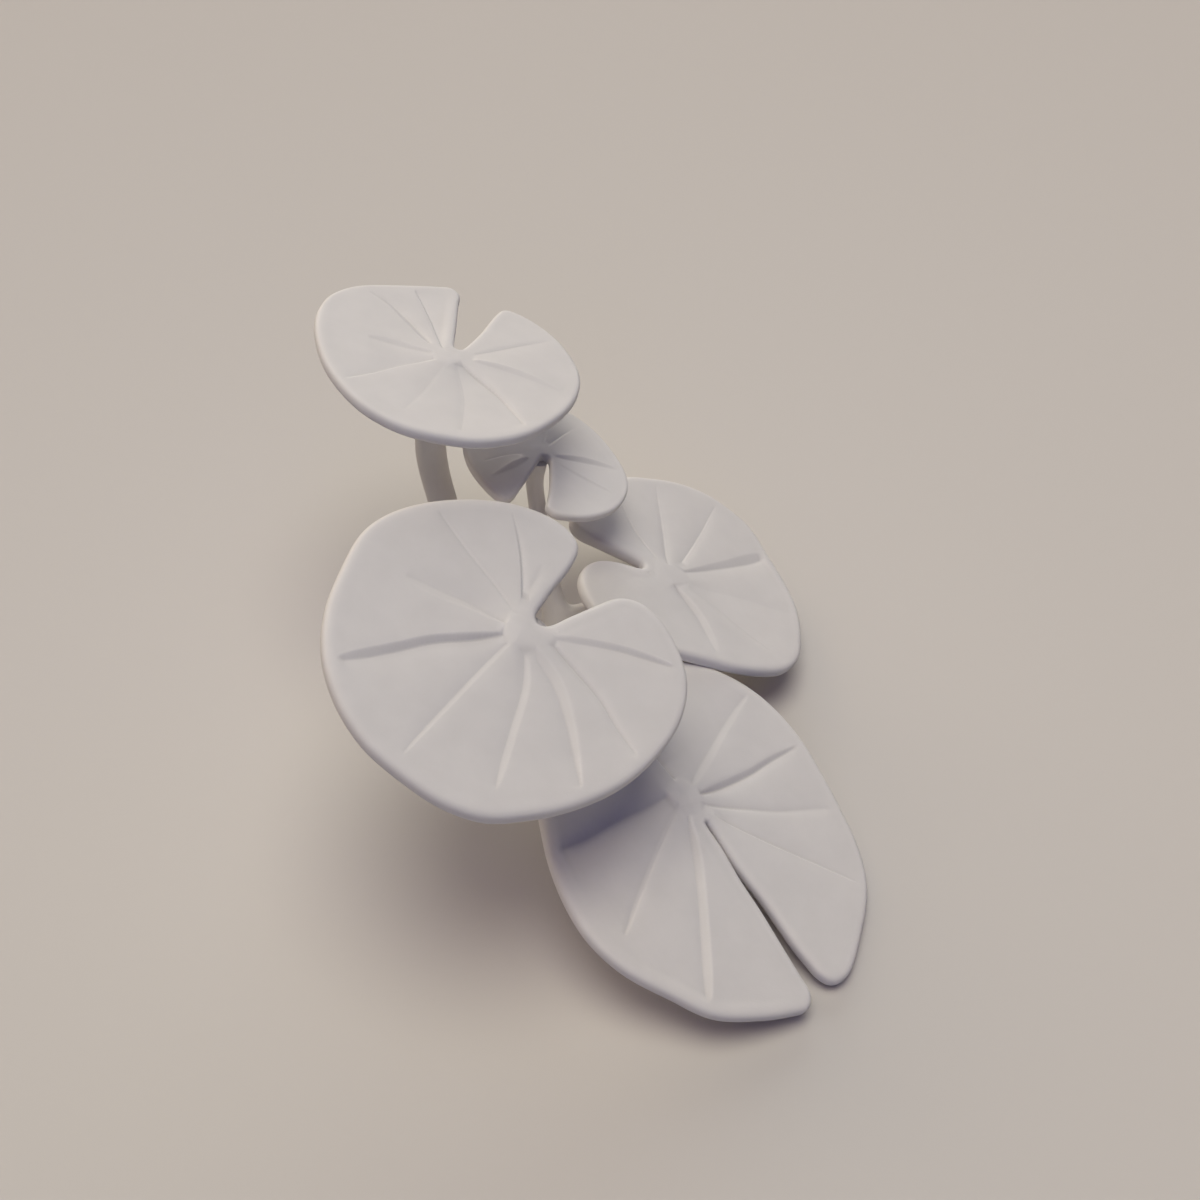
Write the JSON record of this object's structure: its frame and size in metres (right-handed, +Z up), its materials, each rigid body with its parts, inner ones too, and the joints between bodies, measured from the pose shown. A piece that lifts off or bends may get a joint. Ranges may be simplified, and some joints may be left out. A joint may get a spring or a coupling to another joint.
{
  "type": "water lily pad",
  "caption": "Cluster of notched, tilted water lily leaves on thick curved stems that branch from one crown, cut flat underneath so that it rests on a surface.",
  "frame": {"origin": "centre of the crown's flat cut underside", "axes": "+Z up from the cut, +Y toward the high leaf at the back, +X toward the side leaf"},
  "size_m": [0.2933, 0.3696, 0.2086],
  "materials": {
    "crown": "matte off-white, unpainted",
    "stem": "matte off-white, unpainted",
    "leaf": "matte off-white, unpainted, fine grain"
  },
  "bodies": {
    "root": {"crown": "crown", "stem_back": "stem", "stem_small": "stem", "stem_side": "stem", "stem_large": "stem", "stem_low": "stem", "leaf_back": "leaf", "leaf_small": "leaf", "leaf_side": "leaf", "leaf_large": "leaf", "leaf_low": "leaf"}
  },
  "joints": []
}
